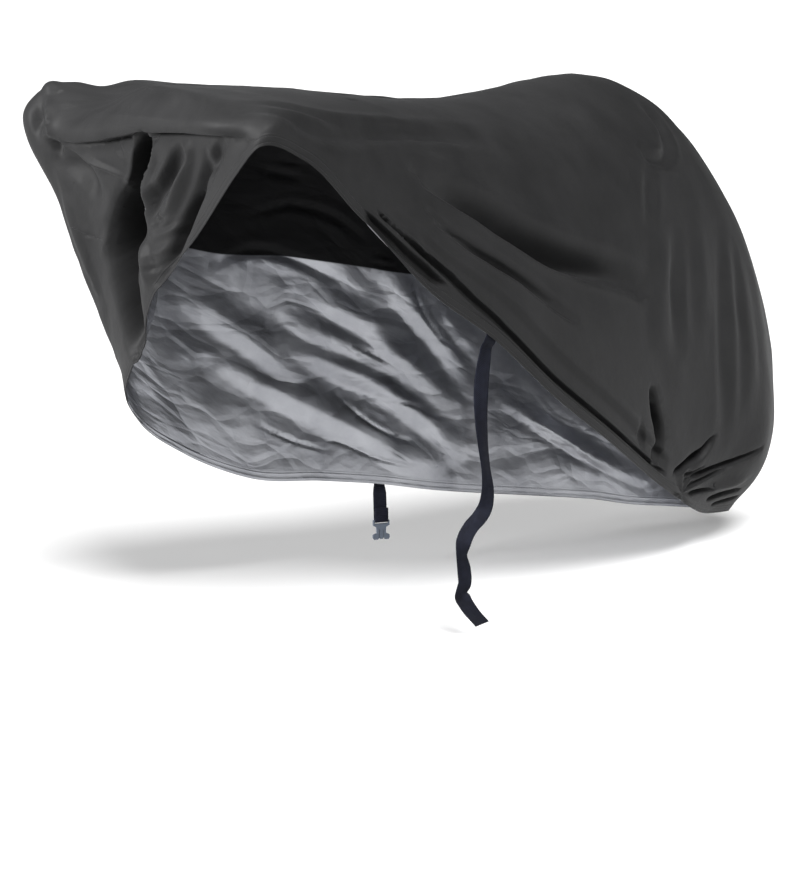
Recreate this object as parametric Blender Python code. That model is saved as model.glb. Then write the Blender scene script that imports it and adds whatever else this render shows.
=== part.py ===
"""Fitted two-cycle rain cover in the shape it keeps in use: one coated cloth from nose to tail, its front corner lifted
so that the hem runs as a diagonal across the near side, with a long webbing strap inside the near hem and a short one
with a plug buckle on the far hem. The cloth is laid out from cross-sections; folds are pressed into it along its normal."""

import math
from collections import namedtuple

import bmesh
import bpy
import numpy as np

# Sizes are metres. x runs from nose (-) to tail (+), y from near side (-) to far side (+), z up from the ground.
CLOTH = 0.0020  # cloth, its lining and coating
HEM_EXTRA = 0.0010  # the hem is turned twice, so it is thicker
HEM_WIDTH = 0.024
WEBBING = 0.0020
WEBBING_WIDTH = 0.032
SEAT_GAP = 0.0004  # webbing lies this far off the cloth that it is sewn to
REST = (0.42, 0.0, 1.134)  # where the ridge lies on the saddle, the origin of the finished part

ROWS = 20  # rows of cloth from ridge to hem, on each side
ROWS_TO_SHOULDER = 7  # of which these lie above the shoulder, so that a row runs along it
HEM_ROWS = (0.0, 0.012, 0.024, 0.038)  # the last rows lie this far from the hem's edge
COLUMNS_TO = {"nose": 0, "bars": 24, "dip": 37, "tail": 70}  # columns of cloth spent up to each section

Section = namedtuple(
    "Section",
    "name ridge near_brim near_shoulder near_belt near_low near_hem far_brim far_shoulder far_belt far_low far_hem",
)
# A row is one section of the cloth: its ridge (x, z), then what each side passes through on its way to the hem.
SECTIONS = (
    Section("nose", (-.690, 1.129),
            (-.722, .000, 1.106), (-.740, .000, 1.060), (-.698, .005, .985),
            (-.672, .020, .850), (-.648, .040, .735),
            (-.722, .000, 1.106), (-.740, .000, 1.060), (-.698, .005, .985),
            (-.672, .020, .850), (-.648, .040, .735)),
    Section("brow", (-.682, 1.133),
            (-.716, -.132, 1.108), (-.736, -.150, 1.062), (-.698, -.146, 1.006),
            (-.686, -.137, .920), (-.672, -.128, .856),
            (-.722, .112, 1.090), (-.741, .126, 1.050), (-.702, .118, .960),
            (-.655, .125, .750), (-.615, .150, .600)),
    Section("temple", (-.650, 1.134),
            (-.696, -.222, 1.106), (-.722, -.268, 1.070), (-.702, -.276, 1.032),
            (-.695, -.274, 1.006), (-.692, -.274, .980),
            (-.714, .205, 1.086), (-.742, .238, 1.048), (-.702, .236, .940),
            (-.626, .240, .680), (-.566, .262, .485)),
    Section("bars", (-.590, 1.133),
            (-.622, -.222, 1.112), (-.668, -.318, 1.086), (-.684, -.338, 1.066),
            (-.690, -.338, 1.048), (-.690, -.334, 1.030),
            (-.714, .298, 1.122), (-.750, .334, 1.074), (-.700, .300, .895),
            (-.601, .280, .625), (-.520, .276, .425)),
    Section("stem", (-.470, 1.129),
            (-.477, -.155, 1.110), (-.510, -.275, 1.085), (-.552, -.325, 1.058),
            (-.570, -.338, 1.036), (-.578, -.334, 1.002),
            (-.540, .255, 1.102), (-.600, .322, 1.052), (-.550, .308, .830),
            (-.482, .295, .560), (-.400, .290, .345)),
    Section("tube", (-.310, 1.116),
            (-.322, -.139, 1.094), (-.350, -.245, 1.052), (-.400, -.310, 1.005),
            (-.432, -.337, .950), (-.448, -.336, .893),
            (-.330, .172, 1.101), (-.350, .298, 1.046), (-.320, .318, .780),
            (-.265, .318, .500), (-.212, .300, .265)),
    Section("dip", (-.100, 1.097),
            (-.105, -.125, 1.062), (-.120, -.215, 1.008), (-.175, -.295, .905),
            (-.218, -.330, .795), (-.243, -.330, .722),
            (-.100, .138, 1.068), (-.100, .235, 1.008), (-.080, .300, .740),
            (-.040, .315, .470), (-.005, .300, .232)),
    Section("post", (.060, 1.090),
            (.064, -.110, 1.048), (.060, -.185, .985), (.010, -.265, .850),
            (-.030, -.315, .725), (-.071, -.320, .620),
            (.065, .115, 1.052), (.070, .190, .985), (.090, .275, .710),
            (.130, .305, .440), (.168, .300, .202)),
    Section("rise", (.235, 1.108),
            (.237, -.104, 1.057), (.235, -.170, .985), (.200, -.245, .800),
            (.160, -.292, .620), (.124, -.300, .480),
            (.240, .108, 1.059), (.245, .175, .985), (.265, .260, .700),
            (.300, .295, .420), (.330, .290, .168)),
    Section("saddle", (.420, 1.1335),
            (.424, -.100, 1.076), (.425, -.160, 1.000), (.405, -.225, .780),
            (.372, -.260, .550), (.336, -.260, .354),
            (.425, .103, 1.077), (.430, .165, 1.000), (.445, .240, .700),
            (.475, .280, .400), (.505, .278, .138)),
    Section("rump", (.580, 1.120),
            (.585, -.095, 1.052), (.590, -.150, .970), (.590, -.200, .740),
            (.580, -.220, .470), (.545, -.195, .236),
            (.588, .098, 1.053), (.595, .155, .970), (.612, .225, .680),
            (.640, .260, .380), (.665, .260, .113)),
    Section("slope", (.725, 1.066),
            (.741, -.085, .984), (.755, -.130, .895), (.765, -.170, .670),
            (.755, -.185, .400), (.690, -.145, .165),
            (.743, .093, .985), (.758, .145, .895), (.775, .200, .640),
            (.792, .230, .360), (.800, .228, .092)),
    Section("fall", (.845, .980),
            (.870, -.073, .890), (.890, -.110, .800), (.916, -.145, .590),
            (.903, -.160, .330), (.795, -.100, .118),
            (.868, .081, .891), (.888, .125, .800), (.918, .170, .570),
            (.920, .190, .320), (.890, .180, .074)),
    Section("seat", (.945, .878),
            (.975, -.054, .786), (1.000, -.080, .700), (1.040, -.105, .490),
            (1.024, -.122, .235), (.905, -.045, .085),
            (.975, .059, .787), (1.000, .090, .700), (1.044, .120, .490),
            (1.044, .128, .235), (.975, .105, .068)),
    Section("tail", (1.015, .787),
            (1.059, .000, .707), (1.092, .000, .640), (1.164, .000, .430),
            (1.134, .000, .160), (1.050, .012, .064),
            (1.059, .000, .707), (1.092, .000, .640), (1.164, .000, .430),
            (1.134, .000, .160), (1.050, .012, .064)),
)

Fold = namedtuple("Fold", "name start middle end width depth rim")
# A fold runs from start to end by way of middle. Depth is out of the cloth (+, a ridge) or into it (-, a trough), and
# rim is the share of the depth that rises beside it.
FOLDS = (
    Fold("side trough", (-.274, -.289, .975), (.122, -.254, .815), (.658, -.197, .649), .030, -.024, .45),
    Fold("side crease", (-.193, -.311, .871), (.004, -.303, .749), (.191, -.284, .634), .017, -.012, .40),
    Fold("bar smear", (-.581, -.323, 1.074), (-.301, -.234, 1.046), (-.042, -.169, 1.026), .030, -.011, .40),
    Fold("rump dent", (.626, -.065, 1.069), (.670, -.111, .995), (.610, -.154, .948), .024, -.014, .30),
    Fold("rump tuck", (.498, -.167, .967), (.557, -.167, .943), (.621, -.156, .935), .016, -.008, .30),
    Fold("rear hang", (.601, -.190, .796), (.596, -.214, .593), (.609, -.210, .411), .024, .010, .35),
    Fold("tail hang", (.759, -.151, .813), (.769, -.179, .575), (.791, -.173, .340), .022, .010, .35),
    Fold("under the near bar", (-.698, -.302, 1.042), (-.719, -.160, 1.035), (-.725, .012, 1.026), .020, -.018, .0),
    Fold("under the far bar", (-.725, .012, 1.026), (-.729, .142, 1.011), (-.737, .257, 1.016), .022, -.018, .0),
    Fold("deep fold", (-.714, .001, 1.013), (-.672, .132, .828), (-.610, .197, .596), .034, -.066, .30),
    Fold("drape ridge", (-.718, -.034, 1.022), (-.688, .007, .944), (-.675, .049, .862), .019, .024, .35),
    Fold("drape valley", (-.704, -.112, 1.012), (-.687, -.047, .947), (-.678, .013, .880), .018, -.024, .30),
    Fold("near drape ridge", (-.706, -.206, 1.022), (-.693, -.176, .968), (-.687, -.125, .923), .020, .018, .30),
    Fold("flap tuck", (-.733, .253, 1.006), (-.708, .191, .965), (-.689, .173, .906), .024, -.016, .30),
    Fold("flap hang", (-.703, .263, .921), (-.675, .264, .829), (-.644, .263, .736), .026, .010, .30),
    Fold("top sag", (-.735, .060, 1.100), (-.665, .180, 1.140), (-.585, .285, 1.110), .045, -.016, .20),
    Fold("corner peak", (-.700, .280, 1.128), (-.716, .300, 1.120), (-.738, .322, 1.096), .024, .020, .10),
)

Gather = namedtuple("Gather", "at pleats first_ring reach depth side")
# Where the hem is drawn together, pleats fan out of one point.
GATHER = Gather(at=(.700, -.150, .175), pleats=8, first_ring=.055, reach=.150, depth=.009, side=-.010)

Ribbon = namedtuple("Ribbon", "name x y z turn")
# The long strap below the hem: its middle line, and how far its width is turned from the x axis, in degrees.
LONG_STRAP = (
    Ribbon("out of the hem", -.078, -.3010, .600, 6),
    Ribbon("upper fall", -.088, -.2990, .530, -14),
    Ribbon("middle fall", -.087, -.2980, .455, -26),
    Ribbon("half turn", -.080, -.2970, .400, -58),
    Ribbon("lower fall", -.070, -.2970, .345, -64),
    Ribbon("above the bend", -.067, -.2960, .300, -40),
    Ribbon("bend", -.072, -.2900, .268, -20),
    Ribbon("below the bend", -.098, -.2860, .240, -24),
    Ribbon("swing", -.123, -.2880, .212, -40),
    Ribbon("thin", -.134, -.2920, .180, -62),
    Ribbon("broad", -.128, -.2950, .148, -30),
    Ribbon("before the fold", -.126, -.2960, .122, -16),
    Ribbon("fold", -.138, -.2950, .098, -66),
    Ribbon("foot", -.117, -.2950, .066, -12),
    Ribbon("cut end", -.078, -.2950, .027, -8),
)
LONG_STRAP_AT = 0.586  # along the near hem, as a share of the way from nose to tail in columns
LONG_SEAT = 0.040  # webbing sewn to the cloth, up from the hem's edge
SHORT_STRAP_AT = 0.589  # along the far hem
SHORT_SEAT = 0.030
SHORT_DROP = 0.086  # from the far hem to the buckle's bar
SHORT_TAIL = 0.030  # the webbing turns round the bar and is sewn to itself
SHORT_TURN = -22.0
SHORT_RIBS = 13

# The plug half of a side-release buckle, hanging with its bar up: half widths and heights from the bar's middle.
PLUG_THICK = 0.0060
BAR_HIGH = 0.0036
SLOT_HIGH = 0.0052
SHOULDER_HALF = 0.0195
WAIST_HALF = 0.0110
FLANGE_HALF = 0.0205
PLUG_DROP = 0.0440
SHOULDER_DROP = 0.0150
FLANGE_DROP = 0.0290
SLIT = 0.0012
TONGUE_HALF = 0.0045


def clear_scene():
    for thing in list(bpy.data.objects):
        bpy.data.objects.remove(thing, do_unlink=True)


def smooth_through(knots, values, at):
    """A smooth curve through values at knots, read off at the places in at."""
    knots = np.asarray(knots, float)
    values = np.asarray(values, float)
    at = np.asarray(at, float)
    widen = (-1,) + (1,) * (values.ndim - 1)
    step = np.diff(knots).reshape(widen)
    slope = np.diff(values, axis=0) / step
    lean = np.empty_like(values)
    lean[1:-1] = (slope[:-1] * step[1:] + slope[1:] * step[:-1]) / (step[:-1] + step[1:])
    lean[0] = slope[0]
    lean[-1] = slope[-1]
    i = np.clip(np.searchsorted(knots, at, side="right") - 1, 0, len(knots) - 2)
    h = step[i]
    u = (at - knots[i]).reshape(widen) / h
    return (
        (2 * u**3 - 3 * u**2 + 1) * values[i]
        + (u**3 - 2 * u**2 + u) * h * lean[i]
        + (3 * u**2 - 2 * u**3) * values[i + 1]
        + (u**3 - u**2) * h * lean[i + 1]
    )


def rib_points(section):
    """The eleven points of a section, from the near hem over the ridge to the far hem."""
    x, z = section.ridge
    near = (section.near_hem, section.near_low, section.near_belt, section.near_shoulder, section.near_brim)
    far = (section.far_brim, section.far_shoulder, section.far_belt, section.far_low, section.far_hem)
    return [*near, (x, 0.0, z), *far]


MEASURED = (1, 2, 3, 5, 7, 8, 9)  # the points of a section that say how far it is from the next one


def spread_ribs():
    """A rib for each column of cloth, closer together where more columns are spent. Beyond nose and tail the cloth
    goes on as its other side, so that it is round there."""
    through = np.array([rib_points(section) for section in SECTIONS])
    gaps = np.linalg.norm(np.diff(through[:, MEASURED], axis=0), axis=2).mean(axis=1)
    knots = np.concatenate([[0.0], np.cumsum(gaps)])
    names = [section.name for section in SECTIONS]
    spent = list(COLUMNS_TO.values())
    where = smooth_through(spent, [knots[names.index(name)] for name in COLUMNS_TO], np.arange(spent[-1] + 1))
    around = np.concatenate([through[1:2, ::-1], through, through[-2:-1, ::-1]])
    knots_around = np.concatenate([[-gaps[0]], knots, [knots[-1] + gaps[-1]]])
    return smooth_through(knots_around, around, where)


def rows_of(rib):
    """The rib cut into rows: even from ridge to shoulder and on to the hem, the last ones at set distances from its
    edge."""
    chords = np.linalg.norm(np.diff(rib, axis=0), axis=1) ** 0.6
    knots = np.concatenate([[0.0], np.cumsum(chords)])
    halves = []
    for shoulder, end in ((knots[3], knots[0]), (knots[7], knots[-1])):
        half = smooth_through(knots, rib, np.linspace(knots[5], end, 200))
        run = np.concatenate([[0.0], np.cumsum(np.linalg.norm(np.diff(half, axis=0), axis=1))])
        turn = np.interp(abs(shoulder - knots[5]), np.linspace(0.0, abs(end - knots[5]), 200), run)
        upper = np.linspace(0.0, turn, ROWS_TO_SHOULDER + 1)[:-1]
        lower = np.linspace(turn, run[-1] - HEM_ROWS[-1], ROWS - ROWS_TO_SHOULDER - len(HEM_ROWS) + 2)[:-1]
        cuts = np.concatenate([upper, lower, run[-1] - np.array(HEM_ROWS[::-1])])
        halves.append(np.stack([np.interp(cuts, run, half[:, axis]) for axis in range(3)], axis=1))
    return np.concatenate([halves[0][::-1], halves[1][1:]])


def lay_cloth():
    """Points, quads and the table of point numbers by column and row. Nose and tail close on themselves."""
    ribs = [rows_of(rib) for rib in spread_ribs()]
    last = len(ribs) - 1
    index = np.zeros((len(ribs), 2 * ROWS + 1), int)
    points = []
    for column, rib in enumerate(ribs):
        for row, point in enumerate(rib):
            if column in (0, last) and row > ROWS:
                index[column, row] = index[column, 2 * ROWS - row]
                continue
            index[column, row] = len(points)
            points.append(point)
    quads = [
        (index[c, r], index[c + 1, r], index[c + 1, r + 1], index[c, r + 1])
        for c in range(last)
        for r in range(2 * ROWS)
    ]
    return np.array(points), np.array(quads), index


def normals_of(points, quads):
    a, b, c, d = (points[quads[:, i]] for i in range(4))
    across = np.cross(c - a, d - b)
    normals = np.zeros_like(points)
    for i in range(4):
        np.add.at(normals, quads[:, i], across)
    return normals / np.linalg.norm(normals, axis=1)[:, None]


def press_fold(points, fold):
    """How far each point moves for one fold: most along its middle, nothing at its ends."""
    start, middle, end = (np.array(place) for place in (fold.start, fold.middle, fold.end))
    bend = 2.0 * middle - 0.5 * (start + end)
    s = np.linspace(0.0, 1.0, 33)[:, None]
    path = (1 - s) ** 2 * start + 2 * s * (1 - s) * bend + s**2 * end
    apart = np.linalg.norm(points[:, None, :] - path[None, :, :], axis=2)
    nearest = apart.argmin(axis=1)
    off = apart.min(axis=1) / fold.width
    swell = np.sin(np.pi * (0.08 + 0.84 * nearest / 32.0)) ** 1.2
    beside = fold.rim * np.exp(-1.6 * (off - 1.7) ** 2)
    return fold.depth * swell * (np.exp(-off * off) - beside)


def press_gather(points):
    """Pleats that fan out of the drawn-in hem, highest a little way out and gone at their reach."""
    off = points - np.array(GATHER.at)
    far = np.hypot(off[:, 0], off[:, 2])
    angle = np.arctan2(off[:, 2], off[:, 0])
    wave = np.sin(GATHER.pleats * angle + 1.3 * np.sin(2.0 * angle))
    rise = far / GATHER.first_ring
    swell = rise * np.exp(1.0 - rise - (far / GATHER.reach) ** 2)
    return np.where(points[:, 1] < GATHER.side, GATHER.depth * wave * swell, 0.0)


def drape():
    points, quads, index = lay_cloth()
    push = press_gather(points)
    for fold in FOLDS:
        push = push + press_fold(points, fold)
    points = points + normals_of(points, quads) * push[:, None]
    return points, quads, index


def add_object(name, points, faces, colour, roughness):
    mesh = bpy.data.meshes.new(name)
    moved = np.asarray(points, float) - np.array(REST)
    mesh.from_pydata([tuple(map(float, point)) for point in moved], [], [tuple(map(int, face)) for face in faces])
    mesh.validate()
    made = bpy.data.objects.new(name, mesh)
    bpy.context.scene.collection.objects.link(made)
    shade = bpy.data.materials.new(name)
    shade.use_nodes = True
    principled = shade.node_tree.nodes["Principled BSDF"]
    principled.inputs["Base Color"].default_value = (*colour, 1.0)
    principled.inputs["Roughness"].default_value = roughness
    mesh.materials.append(shade)
    return made


def thickness_at(index, count):
    """Cloth thickness by point, greater in the hem."""
    thick = np.full(count, CLOTH)
    for edge, inwards in ((0, 1), (-1, -1)):
        for step, away in enumerate(HEM_ROWS):
            if away <= HEM_WIDTH:
                thick[index[:, edge + inwards * step]] = CLOTH + HEM_EXTRA
    return thick


def split_quads(points, quads):
    """Each quad as two triangles along its shorter diagonal, so that both faces of the cloth are cut alike."""
    a, b, c, d = (points[quads[:, i]] for i in range(4))
    straight = np.linalg.norm(c - a, axis=1) <= np.linalg.norm(d - b, axis=1)
    first = np.where(straight[:, None], quads[:, [0, 1, 2]], quads[:, [0, 1, 3]])
    second = np.where(straight[:, None], quads[:, [0, 2, 3]], quads[:, [1, 2, 3]])
    return np.concatenate([first, second])


def build_cloth(points, quads, index):
    normals = normals_of(points, quads)
    inner = points - normals * thickness_at(index, len(points))[:, None]
    count = len(points)
    outer_faces = split_quads(points, quads)
    faces = list(outer_faces)
    faces += list(outer_faces[:, ::-1] + count)
    for column in range(len(index) - 1):
        for row, flip in ((0, False), (-1, True)):
            a, b = index[column, row], index[column + 1, row]
            side = (a, a + count, b + count, b)
            faces.append(side[::-1] if flip else side)
    return add_object("cover_cloth", np.concatenate([points, inner]), faces, (.012, .012, .013), .42)


def sewn_line(points, normals, index, share, edge, length, half_width, lift):
    """Left, middle and right of the webbing where it lies on the cloth, from its top down to the hem's edge."""
    columns = len(index) - 1
    middle = share * columns
    rows = []
    step = 1 if edge == 0 else -1
    taken = [edge + step * i for i in range(len(HEM_ROWS))]
    away = np.array(HEM_ROWS)
    for distance in np.linspace(length, 0.0, 5):
        across = []
        for side in (-1.0, 0.0, 1.0):
            column_gap = np.linalg.norm(points[index[int(middle) + 1, edge]] - points[index[int(middle), edge]])
            at = middle + side * half_width / column_gap
            low = int(at)
            part = at - low
            place = np.zeros(3)
            out = np.zeros(3)
            for column, weight in ((low, 1.0 - part), (low + 1, part)):
                path = points[index[column, taken]]
                facing = normals[index[column, taken]]
                place += weight * np.array([np.interp(distance, away, path[:, i]) for i in range(3)])
                out += weight * np.array([np.interp(distance, away, facing[:, i]) for i in range(3)])
            across.append(place + out / np.linalg.norm(out) * lift)
        rows.append(across)
    return np.array(rows)


def ribbon_object(name, rows, thick, colour, roughness):
    """A closed strip of webbing through rows of left, middle and right points, with its own thickness at each row."""
    rows = np.asarray(rows, float)
    along = np.gradient(rows, axis=0)
    across = np.repeat((rows[:, 2] - rows[:, 0])[:, None, :], 3, axis=1)
    out = np.cross(along, across)
    out = out / np.linalg.norm(out, axis=2)[..., None]
    half = 0.5 * np.asarray(thick, float).reshape(-1, 1, 1)
    front = rows + out * half
    back = rows - out * half
    count = len(rows)
    ring = np.concatenate([front, back[:, ::-1]], axis=1)
    faces = []
    for i in range(count - 1):
        for j in range(6):
            k = (j + 1) % 6
            faces.append((6 * i + j, 6 * i + k, 6 * (i + 1) + k, 6 * (i + 1) + j))
    faces.append((5, 4, 1, 0))
    faces.append((4, 3, 2, 1))
    last = 6 * (count - 1)
    faces.append((last, last + 1, last + 4, last + 5))
    faces.append((last + 1, last + 2, last + 3, last + 4))
    made = add_object(name, ring.reshape(-1, 3), faces, colour, roughness)
    face_outwards(made)
    return made


def face_outwards(made):
    shape = bmesh.new()
    shape.from_mesh(made.data)
    bmesh.ops.recalc_face_normals(shape, faces=shape.faces)
    shape.to_mesh(made.data)
    shape.free()


def build_long_strap(points, normals, index):
    lift = -(CLOTH + HEM_EXTRA + SEAT_GAP + 0.5 * WEBBING)
    seat = sewn_line(points, normals, index, LONG_STRAP_AT, 0, LONG_SEAT, 0.5 * WEBBING_WIDTH, lift)
    table = np.array([[row.x, row.y, row.z, row.turn] for row in LONG_STRAP])
    gaps = np.linalg.norm(np.diff(table[:, :3], axis=0), axis=1)
    knots = np.concatenate([[0.0], np.cumsum(gaps)])
    hung = smooth_through(knots, table, np.linspace(0.0, knots[-1], 46))
    turn = np.radians(hung[:, 3])
    across = np.stack([np.cos(turn), np.sin(turn), np.zeros(len(turn))], axis=1) * 0.5 * WEBBING_WIDTH
    for i in range(len(hung)):
        slope = hung[min(i + 1, len(hung) - 1), :3] - hung[max(i - 1, 0), :3]
        slope = slope / np.linalg.norm(slope)
        level = across[i] - slope * (across[i] @ slope)
        across[i] = level / np.linalg.norm(level) * 0.5 * WEBBING_WIDTH
    fall = np.stack([hung[:, :3] - across, hung[:, :3], hung[:, :3] + across], axis=1)
    rows = np.concatenate([seat, fall])
    ribbon_object("long_strap", rows, np.full(len(rows), WEBBING), (.016, .017, .026), .60)


def build_short_strap(points, normals, index):
    lift = SEAT_GAP + 0.5 * WEBBING
    seat = sewn_line(points, normals, index, SHORT_STRAP_AT, -1, SHORT_SEAT, 0.5 * WEBBING_WIDTH, lift)
    turn = math.radians(SHORT_TURN)
    width = np.array([math.cos(turn), math.sin(turn), 0.0])
    away = np.array([-width[1], width[0], 0.0])
    top = seat[-1, 1]
    bar_radius = math.sqrt(0.5) * BAR_HIGH + SEAT_GAP + 0.5 * WEBBING  # it clears the corners of a square bar
    bar = top + np.array([0.004, 0.002, -SHORT_DROP])
    fall = []
    for share in np.linspace(0.12, 1.0, 2 * SHORT_RIBS):
        level = smooth_through([0.0, 0.5, 1.0], np.array([top, 0.5 * (top + bar), bar]), [share])[0]
        ease = share * share * (3.0 - 2.0 * share)
        level = level + away * bar_radius * ease
        fall.append((level, min(1.0, share * 4.0)))
    for angle in np.linspace(0.0, math.pi, 7)[1:]:
        fall.append((bar + away * bar_radius * math.cos(angle) + np.array([0, 0, -bar_radius * math.sin(angle)]), 1.0))
    for up in np.linspace(0.0, SHORT_TAIL, 5)[1:]:
        fall.append((bar - away * bar_radius + np.array([0.0, 0.0, up]), 1.0))
    first = seat[-1, 2] - seat[-1, 0]
    first = first / np.linalg.norm(first)
    rows = []
    for middle, turned in fall:
        side = (1.0 - turned) * first + turned * width
        side = side / np.linalg.norm(side) * 0.5 * WEBBING_WIDTH
        rows.append([middle - side, middle, middle + side])
    rows = np.concatenate([seat, np.array(rows)])
    thick = np.full(len(rows), WEBBING)
    ribbed = slice(len(seat) + 1, len(seat) + 2 * SHORT_RIBS - 2, 2)
    thick[ribbed] = 0.72 * WEBBING
    ribbon_object("short_strap", rows, thick, (.020, .022, .034), .62)
    return bar, width, away


def prism(name, outline, front, back, place, width, away, colour, roughness):
    """A flat outline (across, down) stood at place, reaching from back to front of it."""
    ring = [place + width * a - np.array([0.0, 0.0, d]) for a, d in outline]
    points = [p + away * front for p in ring] + [p + away * back for p in ring]
    n = len(ring)
    faces = [tuple(range(n)), tuple(range(2 * n - 1, n - 1, -1))]
    faces += [(i, i + n, (i + 1) % n + n, (i + 1) % n) for i in range(n)]
    made = add_object(name, points, faces, colour, roughness)
    face_outwards(made)
    return made


def cut_away(body, name, outline, front, back, place, width, away):
    cutter = prism(name, outline, front, back, place, width, away, (.5, .5, .5), .5)
    cutter.hide_render = True
    cutter.display_type = "WIRE"
    cut = body.modifiers.new(name, "BOOLEAN")
    cut.operation = "DIFFERENCE"
    cut.solver = "EXACT"
    cut.object = cutter


def build_plug(bar, width, away):
    top = -0.5 * BAR_HIGH
    arm = TONGUE_HALF + SLIT
    right = [
        (SHOULDER_HALF - .002, top), (SHOULDER_HALF, top + .002), (SHOULDER_HALF, SHOULDER_DROP - .004),
        (WAIST_HALF + .001, SHOULDER_DROP), (WAIST_HALF, SHOULDER_DROP + .004), (WAIST_HALF, FLANGE_DROP),
        (FLANGE_HALF - .001, FLANGE_DROP + .004), (FLANGE_HALF, PLUG_DROP - .005), (FLANGE_HALF - .003, PLUG_DROP),
        (arm + .003, PLUG_DROP), (arm, PLUG_DROP - .004), (arm, SHOULDER_DROP + .005),
        (TONGUE_HALF, SHOULDER_DROP + .005), (TONGUE_HALF, PLUG_DROP - .004), (TONGUE_HALF - .002, PLUG_DROP - .001),
    ]
    outline = right + [(-a, d) for a, d in reversed(right)]
    half_thick = 0.5 * PLUG_THICK
    stand = (bar, width, away)
    plug = prism("strap_plug", outline, half_thick, -half_thick, *stand, (.035, .040, .050), .38)
    half = 0.5 * WEBBING_WIDTH + 0.0007
    reach = 0.5 * BAR_HIGH
    slot = [(-half, reach), (half, reach), (half, reach + SLOT_HIGH), (-half, reach + SLOT_HIGH)]
    wide = half + 0.0004
    trim = [(-wide, top - .002), (wide, top - .002), (wide, reach + .001), (-wide, reach + .001)]
    cut_away(plug, "slot_cutter", slot, PLUG_THICK, -PLUG_THICK, *stand)
    cut_away(plug, "front_trim_cutter", trim, PLUG_THICK, reach, *stand)
    cut_away(plug, "back_trim_cutter", trim, -reach, -PLUG_THICK, *stand)


def main():
    clear_scene()
    points, quads, index = drape()
    normals = normals_of(points, quads)
    build_cloth(points, quads, index)
    build_long_strap(points, normals, index)
    bar, width, away = build_short_strap(points, normals, index)
    build_plug(bar, width, away)


main()
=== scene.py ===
"""The looks of the bicycle cover: one sheet of coated cloth, black outside and silver inside, with its
folds, hem and stitching, the two webbing straps and the buckle plug, on a pale floor in soft light."""

import math
from collections import namedtuple

import bmesh
import bpy
import numpy as np
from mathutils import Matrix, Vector
from mathutils.kdtree import KDTree


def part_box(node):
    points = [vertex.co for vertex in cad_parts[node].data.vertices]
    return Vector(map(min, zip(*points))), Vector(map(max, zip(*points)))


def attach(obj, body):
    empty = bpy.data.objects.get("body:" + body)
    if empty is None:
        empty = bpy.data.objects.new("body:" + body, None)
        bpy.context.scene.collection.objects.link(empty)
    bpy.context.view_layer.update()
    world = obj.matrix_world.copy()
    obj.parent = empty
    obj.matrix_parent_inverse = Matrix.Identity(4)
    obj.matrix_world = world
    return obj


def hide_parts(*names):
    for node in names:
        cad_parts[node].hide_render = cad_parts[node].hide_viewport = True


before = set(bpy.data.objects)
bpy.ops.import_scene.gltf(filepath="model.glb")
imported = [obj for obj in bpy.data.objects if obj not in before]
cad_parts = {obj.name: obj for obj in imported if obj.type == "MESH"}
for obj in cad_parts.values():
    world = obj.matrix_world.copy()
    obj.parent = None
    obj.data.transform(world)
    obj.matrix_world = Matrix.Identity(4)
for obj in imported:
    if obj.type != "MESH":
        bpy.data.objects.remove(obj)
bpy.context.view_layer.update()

# Sizes are metres, and millimetres in the tables of sections, folds and the long strap. x runs from nose (-)
# to tail (+), y from near side (-) to far side (+), z up from the ground. The tables are written from the
# ground under the dip of the ridge; REST is where the ridge lies on the saddle, the part's origin.
REST = np.array((0.42, 0.0, 1.134))
GROUND = -REST[2]
CLOTH = 0.0013
HEM_EXTRA = 0.0010  # how much thicker the turned hem is
HEM_TOP_OUTSIDE = 0.0235  # top of the turned hem, up from its edge
HEM_TOP_INSIDE = 0.0240
HEM_STEP = 0.0009  # how far the turned hem stands out of the cloth above it
HEM_SLOPE = 0.0015  # what that step is spread over
STITCHED = (0.0060, 0.0180)  # stitched lines, up from the hem's edge
STITCHED_DEPTH = 0.0006  # of the groove that each of them draws into the cloth
STITCHED_WIDTH = 0.0013
WEBBING = 0.0018
WEBBING_WIDTH = 0.032
SEAT_GAP = 0.0012  # webbing lies this far off the cloth that it is sewn to

ROWS = 220  # rows of cloth from ridge to hem, on each side, before flat places are thinned out
ROWS_TO_SHOULDER = 60
ROWS_GROW = 1.25  # how fast rows get wider above the hem
HEM_ROWS = (
    0.0, 0.0010, 0.0028, 0.0045, 0.0060, 0.0075, 0.0095, 0.012, 0.0145, 0.0165, 0.0180, 0.0195, 0.0212,
    0.0224, 0.0237, 0.0250, 0.0265, *(up / 1000 for up in range(28, 63, 2)), 0.065,
)
# Columns of cloth from the nose to each of these sections.
COLUMNS_TO = {"nose": 0, "bars": 180, "dip": 285, "rump": 425, "seat": 640, "tail": 680}
RIB_STEPS = 600  # points that half a rib is measured at
KEPT = 97000  # triangles on each face of the cloth once it is thinned out
HEM_ROWS_KEPT = 0.030  # up to here from the hem's edge the cloth is thinned out less
HEM_WEIGHT = 0.35  # its weight in that, where the rest of the cloth has 1

Section = namedtuple("Section", "name ridge near far")
# A section of the cloth is its ridge (x, z) and five points of each side: brim, shoulder, belt, low and hem.
MEASURED = (1, 2, 3, 5, 7, 8, 9)  # the points of a rib that say how far it is from the next one
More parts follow.
